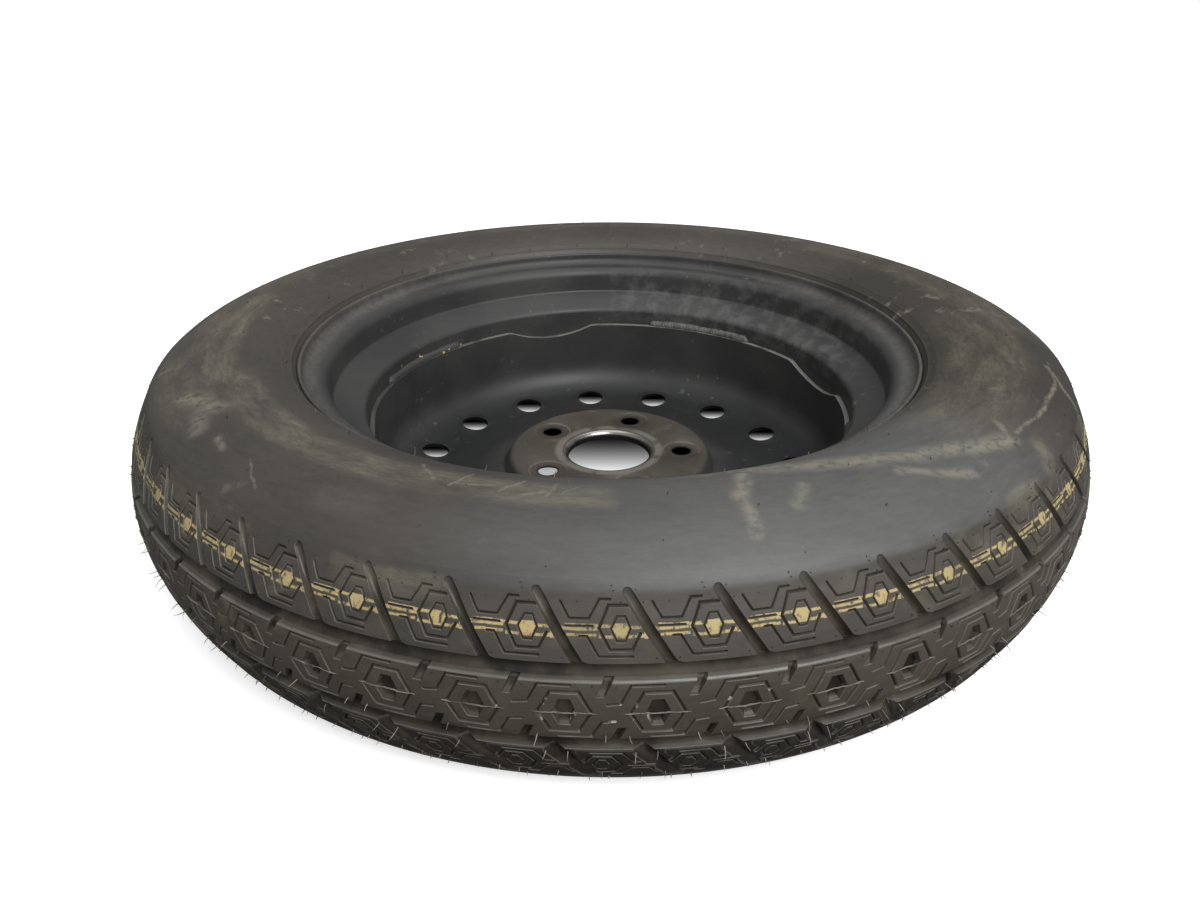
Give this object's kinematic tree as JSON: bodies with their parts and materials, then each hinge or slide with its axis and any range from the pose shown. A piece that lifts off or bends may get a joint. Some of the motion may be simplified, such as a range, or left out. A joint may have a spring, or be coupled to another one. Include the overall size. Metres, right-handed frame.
{
  "type": "spare wheel",
  "caption": "Narrow temporary-use spare wheel: pressed steel disc with vent holes welded in a drop-centre steel rim, ribbed tyre, snap-in valve with unscrewing cap.",
  "frame": {"origin": "wheel centre, on the axis and midway between the rim's two flanges", "axes": "+Z along the wheel's axis towards its inboard side, the side that faces the hub; +X through a wheel nut hole"},
  "size_m": [0.7108, 0.7108, 0.1568],
  "materials": {
    "tyre": "matt, dusty",
    "paint": "satin black, rusty on the hub pad",
    "valve_rubber": "matt",
    "gasket": "matt",
    "brass": "turned",
    "spring_steel": "plain wire",
    "cap_plastic": "satin"
  },
  "bodies": {
    "wheel": {"tyre": "tyre", "rim": "paint", "wheel_disc": "paint", "weld_beads": "paint", "valve_rubber": "valve_rubber", "valve_stem": "brass", "core_swivel": "brass", "core_barrel": "brass", "core_gasket": "gasket", "core_spring": "spring_steel"},
    "pin": {"core_pin": "brass", "core_cup": "brass", "core_cup_seal": "valve_rubber"},
    "seal": {"cap_seal": "valve_rubber"},
    "cap": {"valve_cap": "cap_plastic"}
  },
  "joints": [
    {"name": "valve_pin_press", "type": "slide", "parent": "wheel", "child": "pin", "axis": [0, 0, 1], "range_m": [0, 0.0015], "stiffness_N_per_m": 1500, "springref_m": -0.002, "deforming": ["core_spring"]},
    {"name": "cap_travel", "type": "slide", "parent": "wheel", "child": "seal", "axis": [0, 0, -1], "range_m": [0, 0.00925]},
    {"name": "cap_turn", "type": "hinge", "parent": "seal", "child": "cap", "pos_m": [-0.01775, -0.20283, -0.06], "axis": [0, 0, -1], "range_deg": [0, 4195]}
  ],
  "couplings": [
    {"joint": "cap_turn", "follows": "cap_travel", "rad_per_m": 7913.3}
  ]
}
